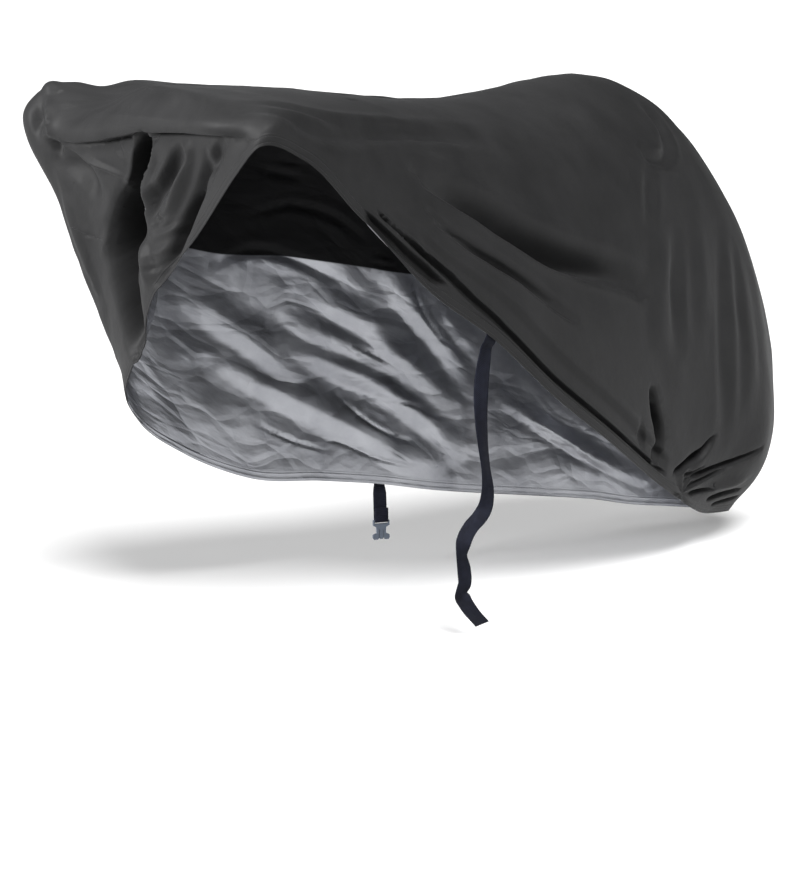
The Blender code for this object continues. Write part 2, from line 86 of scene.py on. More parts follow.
# The nose and the tail are closed: both sides pass through the same points there.
NOSE_POINTS = ((-722, 0, 1106), (-740, 0, 1060), (-698, 5, 985), (-672, 20, 850), (-648, 40, 735))
TAIL_POINTS = ((1059, 0, 707), (1092, 0, 640), (1164, 0, 430), (1134, 0, 160), (1050, 12, 64))
SECTIONS = (
    Section("nose", (-690, 1129), NOSE_POINTS, NOSE_POINTS),
    Section("brow", (-682, 1133),
        ((-716, -132, 1108), (-736, -150, 1062), (-698, -146, 1006), (-686, -137, 920), (-672, -128, 856)),
        ((-722, 112, 1090), (-741, 126, 1050), (-702, 118, 960), (-655, 125, 750), (-615, 150, 600))),
    Section("temple", (-650, 1134),
        ((-696, -222, 1106), (-722, -268, 1070), (-702, -276, 1032), (-695, -274, 1006), (-692, -274, 980)),
        ((-714, 205, 1086), (-742, 238, 1048), (-702, 236, 940), (-626, 240, 680), (-566, 262, 485))),
    Section("bars", (-590, 1133),
        ((-622, -222, 1112), (-668, -318, 1086), (-684, -338, 1066), (-690, -338, 1048), (-690, -334, 1030)),
        ((-714, 298, 1122), (-750, 334, 1074), (-700, 300, 895), (-601, 280, 625), (-520, 276, 425))),
    Section("stem", (-470, 1129),
        ((-477, -155, 1110), (-510, -275, 1085), (-552, -325, 1058), (-570, -338, 1036), (-578, -334, 1002)),
        ((-540, 255, 1102), (-600, 322, 1052), (-550, 308, 830), (-482, 295, 560), (-400, 290, 345))),
    Section("tube", (-310, 1116),
        ((-322, -139, 1094), (-350, -245, 1052), (-400, -310, 1005), (-432, -337, 950), (-448, -336, 893)),
        ((-330, 172, 1101), (-350, 298, 1046), (-320, 318, 780), (-265, 318, 500), (-212, 300, 265))),
    Section("dip", (-100, 1097),
        ((-105, -125, 1062), (-120, -215, 1008), (-175, -295, 905), (-218, -330, 795), (-243, -330, 722)),
        ((-100, 138, 1068), (-100, 235, 1008), (-80, 300, 740), (-40, 315, 470), (-5, 300, 232))),
    Section("post", (60, 1090),
        ((64, -110, 1048), (60, -185, 985), (10, -265, 850), (-30, -315, 725), (-71, -320, 620)),
        ((65, 115, 1052), (70, 190, 985), (90, 275, 710), (130, 305, 440), (168, 300, 202))),
    Section("rise", (235, 1108),
        ((237, -104, 1057), (235, -170, 985), (200, -245, 800), (160, -292, 620), (124, -300, 480)),
        ((240, 108, 1059), (245, 175, 985), (265, 260, 700), (300, 295, 420), (330, 290, 168))),
    Section("saddle", (420, 1133.5),
        ((424, -100, 1076), (425, -160, 1000), (405, -225, 780), (372, -260, 550), (336, -260, 354)),
        ((425, 103, 1077), (430, 165, 1000), (445, 240, 700), (475, 280, 400), (505, 278, 138))),
    Section("rump", (580, 1120),
        ((585, -95, 1052), (590, -150, 970), (590, -200, 740), (580, -220, 470), (545, -195, 236)),
        ((588, 98, 1053), (595, 155, 970), (612, 225, 680), (640, 260, 380), (665, 260, 113))),
    Section("slope", (725, 1066),
        ((741, -85, 984), (755, -130, 895), (765, -170, 670), (755, -185, 400), (690, -145, 165)),
        ((743, 93, 985), (758, 145, 895), (775, 200, 640), (792, 230, 360), (800, 228, 92))),
    Section("fall", (845, 980),
        ((870, -73, 890), (890, -110, 800), (916, -145, 590), (903, -160, 330), (795, -100, 118)),
        ((868, 81, 891), (888, 125, 800), (918, 170, 570), (920, 190, 320), (890, 180, 74))),
    Section("seat", (945, 878),
        ((975, -54, 786), (1000, -80, 700), (1040, -105, 490), (1024, -122, 235), (905, -45, 85)),
        ((975, 59, 787), (1000, 90, 700), (1044, 120, 490), (1044, 128, 235), (975, 105, 68))),
    Section("tail", (1015, 787), TAIL_POINTS, TAIL_POINTS),
)

Fold = namedtuple("Fold", "name path width depth rim lean sharp")
# A fold runs along its path. Depth is out of the cloth (+, a ridge) or into it (-, a trough), rim is the
# share of the depth that comes back beside it, lean makes one side steeper, and a sharp one has a crease for
# a crest.
FOLD_REACH = 4.0  # in widths
FOLD_STEPS = 33  # points of its path
SIDE_TROUGH = (
    (-238, -293, 948), (-131, -285, 899), (-27, -275, 848), (45, -272, 811), (141, -265, 769),
    (256, -255, 732), (384, -243, 698), (450, -235, 672),
)
SIDE_CREASE = (
    (-231, -320, 867), (-134, -315, 810), (-66, -310, 776), (2, -305, 743), (100, -294, 687),
    (191, -284, 634),
)
FLAP_SEAM = ((-685, 271, 853), (-675, 254, 838), (-669, 228, 829), (-668, 188, 822))


def fold(name, width, depth, *path, rim=.3, lean=.0, sharp=False):
    return Fold(name, np.array(path) / 1000, width / 1000, depth / 1000, rim, lean, sharp)


def band(letter, width, depth, *path):
    """A long slanting fold of the silver."""
    return fold("silver band " + letter, width, depth, *path, rim=.4, lean=.2)


def crease(letter, depth, *path):
    """A narrow crease between the silver's folds."""
    return fold("silver crease " + letter, 4.5, depth, *path, sharp=True)


MAIN_FOLDS = (
    fold("side trough", 26, -74, *SIDE_TROUGH, rim=.1, lean=-.4),
    fold("side crease", 12, -26, *SIDE_CREASE, rim=.1, lean=-.4),
    fold("bar smear", 26, -22, (-673, -279, 1097), (-556, -322, 1064), (-301, -234, 1046),
         (-130, -190, 1032), (42, -161, 1014), rim=.2),
    fold("rump dent", 22, -12, (626, -65, 1069), (651, -88, 1033), (653, -126, 981), (610, -154, 948)),
    fold("rump tuck", 14, -12, (524, -161, 974), (553, -165, 951), (597, -160, 940), (646, -145, 946),
         lean=-.3),
    fold("rear hang", 30, 7, (556, -202, 773), (529, -223, 644), (531, -230, 533)),
    fold("tail hang", 30, 6, (720, -158, 827), (719, -178, 693), (721, -192, 534)),
    fold("deep fold top", 13, -85, (-728, -24, 1033), (-703, 14, 993), (-691, 48, 948), (-684, 85, 899),
         (-677, 120, 853), rim=.0, lean=-.3),
    fold("deep fold", 31, -135, (-688, 73, 919), (-681, 108, 874), (-671, 142, 827), (-661, 159, 782),
         (-653, 164, 750), rim=.0, lean=-.4),
    fold("deep fold foot", 27, -75, (-665, 155, 800), (-647, 167, 724), (-629, 169, 658),
         (-613, 177, 599), rim=.0, lean=-.4),
    fold("flap hang", 24, 8, (-703, 263, 921), (-675, 264, 829), (-644, 263, 736)),
    fold("top sag", 45, -16, (-735, 60, 1100), (-690, 140, 1135), (-640, 220, 1138), (-585, 285, 1110),
         rim=.0),
    fold("corner peak", 16, 14, (-704, 270, 1126), (-716, 290, 1122), (-724, 306, 1112), rim=.0),
)

FINE_FOLDS = (
    fold("under the bars", 13, -36, (-739, 255, 1020), (-734, 227, 1013), (-729, 142, 1011),
         (-727, 68, 1020), (-727, 2, 1030), (-722, -165, 1039), (-711, -265, 1041), (-699, -302, 1044),
         rim=.0, lean=.3, sharp=True),
    fold("front edge", 12, 4, (-727, 276, 1102), (-717, 235, 1095), (-730, 102, 1082), (-737, -71, 1077),
         (-734, -220, 1075), (-705, -296, 1068), rim=.0, sharp=True),
    fold("corner edge", 11, 17, (-726, 281, 1106), (-741, 256, 1065), (-742, 258, 1028), rim=.0, lean=-.5,
         sharp=True),
    fold("corner face", 12, -22, (-739, 293, 1092), (-750, 289, 1061), (-747, 291, 1031), rim=.0),
    fold("corner tuck", 10, -18, (-739, 259, 1018), (-733, 253, 1006), (-727, 246, 994), rim=.2,
         sharp=True),
    fold("flap light line", 6, 6, (-732, 230, 1009), (-717, 164, 986), (-703, 101, 965), (-695, 66, 953)),
    fold("flap plane", 24, -22, (-723, 245, 986), (-706, 194, 961), (-689, 173, 906), rim=.2),
    fold("flap pinch", 7, -6, (-727, 85, 1015), (-719, 67, 1006), (-710, 54, 995), sharp=True),
    fold("flap rim", 8, 8, (-716, 21, 1012), (-697, 46, 968), (-690, 86, 927), (-676, 156, 851),
         (-660, 208, 792), rim=.2, sharp=True),
    fold("flap seam", 4, -3, *FLAP_SEAM, sharp=True),
    fold("flap edge", 9, 6, (-720, 268, 965), (-689, 268, 870), (-656, 259, 774), (-625, 254, 678),
         rim=.4, sharp=True),
    fold("drape ridge", 9, 22, (-718, -34, 1022), (-690, 4, 954), (-681, 25, 899), (-675, 49, 862),
         rim=.2, lean=-.3, sharp=True),
    fold("drape foot", 15, 14, (-674, 84, 844), (-666, 63, 809), (-651, 70, 743), rim=.2),
    fold("drape valley", 13, -24, (-704, -118, 1012), (-690, -66, 962), (-682, -7, 910), (-678, 13, 880),
         rim=.4),
    fold("drape middle ridge", 11, 16, (-707, -143, 1019), (-691, -115, 970), (-684, -64, 910),
         (-678, -22, 874)),
    fold("drape near ridge", 9, 14, (-706, -212, 1022), (-693, -183, 972), (-688, -138, 928)),
    fold("front hem groove", 12.5, -42, (-707, -244, 1027), (-694, -184, 980), (-686, -130, 918),
         (-674, -74, 855), (-662, -19, 796), (-652, 32, 746), rim=.0),
    fold("pucker a", 5, -4, (-680, -10, 893), (-679, -31, 883), sharp=True),
    fold("pucker b", 7, 5, (-671, 27, 840), (-674, -30, 855), (-677, -86, 871)),
    fold("pucker c", 8, 5, (-664, 51, 802), (-665, 3, 814), (-669, -48, 831)),
    fold("pucker d", 6, -5, (-658, 60, 773), (-658, 26, 780), (-661, -8, 795), sharp=True),
    fold("lower drape crease", 6, -6, (-675, 33, 863), (-677, -9, 873), (-682, -61, 896), sharp=True),
    fold("long smear", 20, -11, (-649, -250, 1106), (-464, -272, 1075), (-224, -204, 1046), rim=.2),
    fold("shoulder smear", 15, -14, (-340, -245, 1049), (-183, -194, 1042), (-48, -176, 1022), rim=.2),
    fold("faint smear", 12, -4, (-294, -267, 1014), (-193, -243, 1003), (-91, -222, 992)),
    fold("trough edge", 9, -6, *SIDE_TROUGH, lean=-.3, sharp=True),
    fold("crease line", 7, -8, *SIDE_CREASE, lean=-.4, sharp=True),
    fold("crease wedge", 6, -9, (-262, -320, 897), (-223, -320, 868), (-190, -320, 843),
         (-150, -317, 818), lean=-.3, sharp=True),
    fold("dark spot", 13, -7, (-380, -337, 895), (-329, -335, 867), (-281, -331, 848)),
    fold("rear hang dark", 24, -10, (614, -190, 773), (597, -208, 659), (599, -217, 532)),
    fold("rump streak", 22, -9, (539, -172, 937), (528, -189, 873), (514, -203, 809)),
    fold("tail hang dark", 24, -9, (807, -146, 771), (800, -169, 617), (799, -180, 479),
         (823, -159, 287)),
    fold("tail hang light", 24, 4, (908, -131, 694), (929, -154, 488), (916, -157, 323)),
    fold("tail hang third", 18, -4, (871, -138, 725), (879, -161, 540), (876, -166, 353)),
    fold("black pleat", 9.5, -56, (500, -233, 447), (520, -225, 404), (545, -215, 364), (561, -205, 320),
         (564, -197, 278), rim=.0, lean=.3),
    fold("left pleat", 6, -8, (457, -236, 386), (484, -224, 336), (503, -217, 311), rim=.0),
    fold("thick pleat", 9.5, -72, (783, -163, 288), (757, -159, 262), (717, -161, 249), (662, -168, 233),
         rim=.0, lean=.3),
    fold("tail seam", 5.5, -27, (1001, -131, 240), (945, -133, 228), (893, -131, 220), (828, -135, 215),
         (769, -141, 209), (700, -153, 203), rim=.0, lean=.3),
    fold("seam pleat", 5, -17, (871, -126, 206), (814, -130, 197), (761, -136, 190), (722, -145, 188),
         rim=.0, lean=.2),
    fold("low crease", 5.5, -32, (998, -63, 131), (930, -77, 133), (861, -88, 129), rim=.0, lean=.3),
    fold("lower crease", 4.5, -24, (1023, -36, 107), (964, -49, 107), (906, -62, 107), rim=.0, lean=.2),
    fold("low bulge", 14, 12, (992, -92, 166), (907, -102, 164), (824, -113, 162), rim=.0),
    fold("small pleat", 5, -15, (773, -146, 226), (730, -150, 217), (690, -157, 219), rim=.0, lean=.2),
    fold("hem pleat", 4.5, -20, (852, -106, 160), (796, -119, 162), (747, -131, 165), rim=.0, lean=.2),
)

# Folds of the far side, which show from inside.
FAR_FOLDS = (
    band("a", 26, -8, (-59, 308, 661), (59, 298, 606), (119, 295, 574), (207, 295, 511), (289, 293, 457),
         (378, 291, 380)),
    band("b", 22, -7, (-83, 315, 605), (40, 306, 546), (124, 301, 511), (209, 298, 471), (297, 296, 414),
         (385, 291, 346)),
    band("c", 26, -8, (-96, 317, 557), (34, 310, 494), (127, 305, 451), (213, 302, 401), (316, 296, 330),
         (393, 289, 255)),
    band("d", 28, -7, (-111, 317, 443), (42, 310, 373), (127, 305, 322), (211, 300, 271),
         (323, 292, 226)),
    band("e", 24, -6, (140, 268, 717), (176, 274, 673), (238, 278, 618), (302, 281, 559), (361, 283, 498),
         (436, 284, 408)),
    band("f", 20, -5, (277, 271, 643), (333, 274, 590), (401, 275, 525), (473, 275, 457)),
    band("g", 30, -7, (-290, 318, 532), (-165, 320, 471), (-29, 312, 394), (83, 306, 314)),
    band("h", 30, -7, (-355, 317, 667), (-231, 322, 591), (-96, 318, 502), (29, 312, 422)),
    crease("a", 2.5, (48, 306, 538), (90, 302, 528), (165, 299, 494), (242, 297, 454)),
    crease("b", 2.5, (86, 309, 428), (195, 303, 396), (266, 299, 375), (343, 294, 336)),
    crease("c", 3, (35, 311, 433), (94, 308, 379), (160, 304, 333), (265, 298, 286)),
    crease("d", 3, (240, 271, 659), (265, 278, 609), (312, 281, 551), (360, 282, 505)),
    crease("e", 2.5, (-10, 308, 334), (82, 305, 300), (158, 302, 264), (287, 294, 225)),
    crease("f", 2.5, (-199, 313, 391), (-90, 309, 334), (22, 305, 294)),
    crease("g", 2.5, (589, 271, 307), (707, 252, 247), (817, 223, 163)),
    band("i", 16, -6, (527, 277, 361), (648, 262, 289), (791, 232, 202), (910, 176, 133)),
    fold("dark inside a", 9, 6, (-177, 291, 935), (-88, 271, 915), rim=.4, sharp=True),
    fold("dark inside b", 10, 6, (-199, 307, 839), (-103, 287, 856), (-5, 268, 830), (91, 262, 770),
         rim=.4, sharp=True),
    fold("dark inside c", 12, 6, (-285, 319, 743), (-195, 312, 763), (-65, 300, 729), (41, 290, 677),
         rim=.4, sharp=True),
    fold("dark inside d", 6, 4, (-140, 275, 956), (-70, 258, 941), rim=.4, sharp=True),
    fold("dark inside e", 5, -5, (117, 268, 727), (174, 265, 714), rim=.4, sharp=True),
    fold("dark inside f", 4, 4, (130, 270, 713), (188, 267, 702), rim=.4, sharp=True),
)

Gather = namedtuple("Gather", "at pleats first_ring reach depth side")
# Where the hem is drawn together, pleats fan out of one point, on the near side of the plane y = side.
GATHER = Gather(at=(.700, -.150, .175), pleats=8, first_ring=.055, reach=.130, depth=.003, side=-.010)

HemFold = namedtuple("HemFold", "name depth path")
# Grooves that run beside the near hem. Their paths are places along the cloth, up from its edge, and how
# wide the groove is there.
HEM_FOLDS = (
    HemFold("first black band", -17, ((655, 12, 7), (730, 15, 9), (790, 19, 10), (856, 25, 10),
        (905, 28, 8), (930, 29, 5))),
    HemFold("stripe", -16.5, ((690, 36, 3), (770, 46, 5), (826, 50, 7), (878, 56, 8), (925, 55, 9),
        (966, 47, 10), (1010, 39, 10), (1100, 35, 8), (1400, 33, 7), (1600, 31, 6), (1700, 30, 5))),
    HemFold("soft side", -9, ((800, 66, 16), (950, 64, 24), (1200, 60, 28), (1500, 56, 24),
        (1700, 50, 16))),
)
HEM_FOLD_END = .05  # how far each takes to reach its full depth

Swell = namedtuple("Swell", "height cell seed slant stretch")
# Soft random unevenness of the cloth. It starts above the hem, and on the far side behind the nose.
FAR_SWELLS = (Swell(.0035, .085, 7, 35.0, 2.4), Swell(.0012, .030, 3, 20.0, 1.8))
NEAR_SWELL = Swell(.0020, .062, 5, -50.0, 2.0)
SWELLS_ABOVE_HEM = .03
SWELLS_RISE = .08
SWELLS_RISE_FAR = .2  # along the cloth from its nose
CELLS = 97  # of the random table, each way

WORLD = .12
# Each light: the way it shines, how wide it looks in degrees, and its strength.
LIGHTS = (
    ("key", (.95, -.08, -.22), 18.0, 6.2),
    ("side", (.30, .58, -.75), 22.0, 3.9),
    ("low", (-.12, .95, -.20), 24.0, .5),
)

CAMERA_AT = (-3.9784, -3.9070, .1707)
CAMERA_AIM = (-.42, .045, -.767)
FOCAL_LENGTH = 112.5  # mm, on this width of film
FILM_WIDTH = 36.0
FLOOR_REACH = 3000.0

PAINTED_SHADE_FROM = .515  # the silver shows up to here from the hem; above it the inside is painted black, as painted shade under the top
# the soft edge between the silver and the painted shade above it
PAINTED_SHADE_EDGE = .0015
THREAD_PITCH = .0011
NAVY = (.0062, .0070, .0125)
RIBBED_NAVY = (.0090, .0098, .0170)

Ribbon = namedtuple("Ribbon", "name x y z turn")
# The middle line of the long webbing as it hangs, with the way its width points (degrees about z from +x).
LONG_STRAP = (
    Ribbon("out of the hem", -78, -301, 600, 0),
    Ribbon("upper fall", -88, -299, 530, -22),
    Ribbon("middle fall", -87, -298, 455, -6),
    Ribbon("half turn", -80, -297, 400, 8),
    Ribbon("lower fall", -71, -297, 345, 12),
    Ribbon("above the bend", -66, -296, 300, -10),
    Ribbon("bend", -68, -290, 268, -30),
    Ribbon("past the bend", -82, -288, 250, -36),
    Ribbon("below the bend", -101, -286, 235, -40),
    Ribbon("swing", -124, -288, 208, -30),
    Ribbon("thin", -134, -292, 180, 4),
    Ribbon("broad", -130, -295, 148, -12),
    Ribbon("before the fold", -130, -296, 118, -10),
    Ribbon("fold", -139, -295, 101, -2),
    Ribbon("past the fold", -133, -295, 90, -30),
    Ribbon("foot", -114, -295, 64, -40),
    Ribbon("cut end", -78, -295, 27, -42),
)
# Where the straps are sewn on, along the cloth from its nose, and how far up from its edge they reach.
LONG_STRAP_AT = 1.068
LONG_SEAT = 0.022
SHORT_STRAP_AT = 1.076
SHORT_SEAT = 0.028
SHORT_TAIL = 0.030  # what is sewn back on itself above the buckle's bar
SHORT_TURN = -22.0  # the way its width points, in degrees about z from +x
BAR_HIGH = 0.0036
BAR_GAP = 0.0004
CHEVRON_PITCH = 0.0040
RIB_PITCH = 0.0042
RIB_SHARE = .16  # half the height of a rib, as a share of the webbing's thickness
EDGE_SHARE = .30  # of that thickness, along its edges
ACROSS = (-1.0, -.97, -.75, -.5, -.25, 0.0, .25, .5, .75, .97, 1.0)  # points, as shares of half the width

STITCH = (0.0032, 0.0007, 0.0005)  # length, width and height of one stitch
STITCH_PITCH = 0.0050


def smooth_through(knots, values, at):
    """A smooth curve through values at knots, read off at the places in at."""
    knots = np.asarray(knots, float)
    values = np.asarray(values, float)
    at = np.asarray(at, float)
    widen = (-1,) + (1,) * (values.ndim - 1)
    step = np.diff(knots).reshape(widen)
    slope = np.diff(values, axis=0) / step
    lean = np.empty_like(values)
    lean[1:-1] = (slope[:-1] * step[1:] + slope[1:] * step[:-1]) / (step[:-1] + step[1:])
    lean[0] = slope[0]
    lean[-1] = slope[-1]
    i = np.clip(np.searchsorted(knots, at, side="right") - 1, 0, len(knots) - 2)
    h = step[i]
    u = (at - knots[i]).reshape(widen) / h
    return (
        (2 * u**3 - 3 * u**2 + 1) * values[i]
        + (u**3 - 2 * u**2 + u) * h * lean[i]
        + (3 * u**2 - 2 * u**3) * values[i + 1]
        + (u**3 - u**2) * h * lean[i + 1]
    )


def eased(share):
    """A share from 0 to 1 that starts and ends gently."""
    return share * share * (3.0 - 2.0 * share)


def added_up(steps):
    """Where each point lies along a line, from the steps between them."""
    return np.concatenate([[0.0], np.cumsum(steps)])


def run_along(line):
    """How far along a line of points each of them lies."""
    return added_up(np.linalg.norm(np.diff(line, axis=0), axis=1))


def unit(vectors):
    return vectors / np.linalg.norm(vectors, axis=-1, keepdims=True)


def nearest_points(points, places):
    """The number of the point that is nearest to each place."""
    tree = KDTree(len(points))
    for i, point in enumerate(points):
        tree.insert(point, i)
    tree.balance()
    return np.array([tree.find(place)[1] for place in places])


def rib_points(section):
    """A section's points from the near hem over the ridge to the far hem."""
    x, z = section.ridge
    return np.array([*section.near[::-1], (x, 0.0, z), *section.far]) / 1000


def spread_ribs():
    """A rib for each column of cloth, and how far along the cloth each lies."""
    through = np.array([rib_points(section) for section in SECTIONS])
    gaps = np.linalg.norm(np.diff(through[:, MEASURED], axis=0), axis=2).mean(axis=1)
    knots = added_up(gaps)
    names = [section.name for section in SECTIONS]
    spent = list(COLUMNS_TO.values())
    at_section = [knots[names.index(name)] for name in COLUMNS_TO]
    where = smooth_through(spent, at_section, np.arange(spent[-1] + 1))
    around = np.concatenate([through[1:2, ::-1], through, through[-2:-1, ::-1]])
    knots_around = np.concatenate([[-gaps[0]], knots, [knots[-1] + gaps[-1]]])
    return smooth_through(knots_around, around, where), where


def rows_of(rib):
    """The rib cut into rows, with each row's distance from the hem's edge."""
    knots = added_up(np.linalg.norm(np.diff(rib, axis=0), axis=1) ** 0.6)
    halves = []
    lower_rows = ROWS - ROWS_TO_SHOULDER - len(HEM_ROWS) + 1
    for shoulder, end in ((knots[3], knots[0]), (knots[7], knots[-1])):
        half = smooth_through(knots, rib, np.linspace(knots[5], end, RIB_STEPS))
        run = run_along(half)
        turn = np.interp(abs(shoulder - knots[5]), np.linspace(0.0, abs(end - knots[5]), RIB_STEPS), run)
        upper = np.linspace(0.0, turn, ROWS_TO_SHOULDER + 1)[:-1]
        left = run[-1] - HEM_ROWS[-1] - turn
        up = np.linspace(1.0, 0.0, lower_rows + 1)[:-1] ** ROWS_GROW * left
        cuts = np.concatenate([upper, run[-1] - HEM_ROWS[-1] - up, run[-1] - np.array(HEM_ROWS[::-1])])
        place = np.stack([np.interp(cuts, run, part) for part in half.T], axis=1)
        halves.append(np.concatenate([place, (run[-1] - cuts)[:, None]], axis=1))
    return np.concatenate([halves[0][::-1], halves[1][1:]])


def lay_cloth():
    """Points, quads, the table of point numbers by column and row, and each point's place on the flat
    cloth: along it from the nose, up from its edge, and its side (-1 near, 1 far)."""
    ribs, where = spread_ribs()
    ribs = [rows_of(rib) for rib in ribs]
    last = len(ribs) - 1
    index = np.zeros((len(ribs), 2 * ROWS + 1), int)
    points = []
    flat = []
    for column, rib in enumerate(ribs):
        for row, point in enumerate(rib):
            if column in (0, last) and row > ROWS:
                index[column, row] = index[column, 2 * ROWS - row]
                continue
            index[column, row] = len(points)
            points.append(point[:3])
            flat.append((where[column], point[3], -1.0 if row < ROWS else 1.0))
    quads = [
        (index[c, r], index[c + 1, r], index[c + 1, r + 1], index[c, r + 1])
        for c in range(last)
        for r in range(2 * ROWS)
    ]
    return np.array(points), np.array(quads), index, np.array(flat)


def normals_of(points, quads):
    a, b, c, d = (points[quads[:, i]] for i in range(4))
    across = np.cross(c - a, d - b)
    normals = np.zeros_like(points)
    for i in range(4):
        np.add.at(normals, quads[:, i], across)
    return unit(normals)


def beside(path, here):
    """Where points lie beside a path: how far along it, from 0 to 1, how far off, the foot on it and its
    direction there."""
    step = np.diff(path, axis=0)
    since = here[:, None, :] - path[None, :-1, :]
    t = np.clip(np.einsum("ijk,jk->ij", since, step) / (step**2).sum(axis=1), 0.0, 1.0)
    apart = np.linalg.norm(since - t[..., None] * step, axis=2)
    nearest = apart.argmin(axis=1)
    rows = np.arange(len(here))
    t = t[rows, nearest]
    foot = path[nearest] + t[:, None] * step[nearest]
    return (nearest + t) / len(step), apart[rows, nearest], foot, step[nearest]


def press_fold(points, normals, fold):
    """How far each point moves for one fold: most in the middle of its path, little at its ends, and none
    FOLD_REACH widths away from it. A soft fold is a bell across, and a sharp one a peak."""
    knots = run_along(fold.path)
    path = smooth_through(knots, fold.path, np.linspace(0.0, knots[-1], FOLD_STEPS))
    reach = FOLD_REACH * fold.width
    close = np.all((points > path.min(axis=0) - reach) & (points < path.max(axis=0) + reach), axis=1)
    push = np.zeros(len(points))
    if not close.any():
        return push
    here = points[close]
    along, apart, foot, tangent = beside(path, here)
    side = np.sign(np.einsum("ij,ij->i", np.cross(tangent, normals[close]), here - foot))
    off = apart / (fold.width * (1.0 + fold.lean * side))
    swell = np.sin(np.pi * (0.08 + 0.84 * along)) ** 1.1
    crest = np.exp(-1.25 * off**1.25) if fold.sharp else np.exp(-off * off)
    rim = fold.rim * np.exp(-1.6 * (off - 1.7) ** 2)
    push[close] = fold.depth * swell * (crest - rim)
    return push


def press_gather(points):
    """Pleats that fan out of the drawn-in hem, highest a little way out and gone at their reach."""
    off = points - np.array(GATHER.at)
    far = np.hypot(off[:, 0], off[:, 2])
    angle = np.arctan2(off[:, 2], off[:, 0])
    wave = np.sin(GATHER.pleats * angle + 1.3 * np.sin(2.0 * angle))
    rise = far / GATHER.first_ring
    swell = rise * np.exp(1.0 - rise - (far / GATHER.reach) ** 2)
    return np.where(points[:, 1] < GATHER.side, GATHER.depth * wave * swell, 0.0)


def press_hem(flat):
    """The grooves beside the near hem, and the hem's own step and stitched lines on both sides."""
    along, up, side = flat.T
    push = np.zeros(len(flat))
    for fold in HEM_FOLDS:
        at, level, wide = np.array(fold.path).T / 1000
        into, out_of = (np.clip(run / HEM_FOLD_END, 0, 1) for run in (along - at[0], at[-1] - along))
        off = (up - np.interp(along, at, level)) / np.interp(along, at, wide)
        groove = fold.depth / 1000 * (np.exp(-(off**4)) - .18 * np.exp(-8.0 * (np.abs(off) - 1.5) ** 2))
        push += np.where(side < 0, eased(into * out_of) * groove, 0.0)
    push += HEM_STEP * np.clip((HEM_TOP_OUTSIDE - up) / HEM_SLOPE, 0.0, 1.0)
    for stitched in STITCHED:
        push -= STITCHED_DEPTH * np.exp(-(((up - stitched) / STITCHED_WIDTH) ** 2))
    return push


def unevenness(flat, swell):
    """Soft random swells from -1 to 1, in cells that are longer one way than the other."""
    turned = math.radians(swell.slant)
    along = flat[:, 0] * math.cos(turned) + flat[:, 1] * math.sin(turned)
    across = -flat[:, 0] * math.sin(turned) + flat[:, 1] * math.cos(turned)
    u = along / (swell.cell * swell.stretch) + 31.0
    v = across / swell.cell + 37.0
    heights = np.random.default_rng(swell.seed).uniform(-1.0, 1.0, (CELLS, CELLS))
    low_u = np.floor(u).astype(int)
    low_v = np.floor(v).astype(int)
    part_u = eased(u - low_u)
    part_v = eased(v - low_v)
    near, far = (
        heights[low_u % CELLS, row] * (1.0 - part_u) + heights[(low_u + 1) % CELLS, row] * part_u
        for row in (low_v % CELLS, (low_v + 1) % CELLS)
    )
    return near * (1.0 - part_v) + far * part_v


def drape():
    """The cloth with its main folds, then its swells and fine folds, then its hem."""
    points, quads, index, flat = lay_cloth()
    push = press_gather(points)
    normals = normals_of(points, quads)
    for fold in MAIN_FOLDS:
        push = push + press_fold(points, normals, fold)
    points = points + normals * push[:, None]
    normals = normals_of(points, quads)
    clear = np.clip((flat[:, 1] - SWELLS_ABOVE_HEM) / SWELLS_RISE, 0.0, 1.0)
    far = (flat[:, 2] > 0) * clear * np.clip(flat[:, 0] / SWELLS_RISE_FAR, 0.0, 1.0)
    wide, small = FAR_SWELLS
    push = far * (wide.height * unevenness(flat, wide) + small.height * unevenness(flat, small))
    push = push + clear * (1.0 - far) * NEAR_SWELL.height * unevenness(flat, NEAR_SWELL)
    for fold in FINE_FOLDS + FAR_FOLDS:
        push = push + press_fold(points, normals, fold)
    points = points + normals * push[:, None]
    normals = normals_of(points, quads)
    points = points + normals * press_hem(flat)[:, None]
    return points, quads, index, flat


def link(name, made_of):
    made = bpy.data.objects.new(name, made_of)
    bpy.context.scene.collection.objects.link(made)
    return made


def mesh_object(name, points, faces, materials, slots=None, uv=None):
    mesh = bpy.data.meshes.new(name)
    moved = np.asarray(points, float) - REST
    mesh.from_pydata(moved.tolist(), [], [list(map(int, face)) for face in faces])
    for material in materials:
        mesh.materials.append(material)
    if slots is not None:
        mesh.polygons.foreach_set("material_index", np.asarray(slots, np.int32))
    if uv is not None:
        layer = mesh.uv_layers.new(name="flat")
        corners = np.zeros(len(mesh.loops), np.int32)
        mesh.loops.foreach_get("vertex_index", corners)
        layer.data.foreach_set("uv", np.asarray(uv, float)[corners].reshape(-1))
    mesh.polygons.foreach_set("use_smooth", np.ones(len(mesh.polygons), bool))
    mesh.update()
    return link(name, mesh)


def face_outwards(made):
    shape = bmesh.new()
    shape.from_mesh(made.data)
    bmesh.ops.recalc_face_normals(shape, faces=shape.faces)
    shape.to_mesh(made.data)
    shape.free()


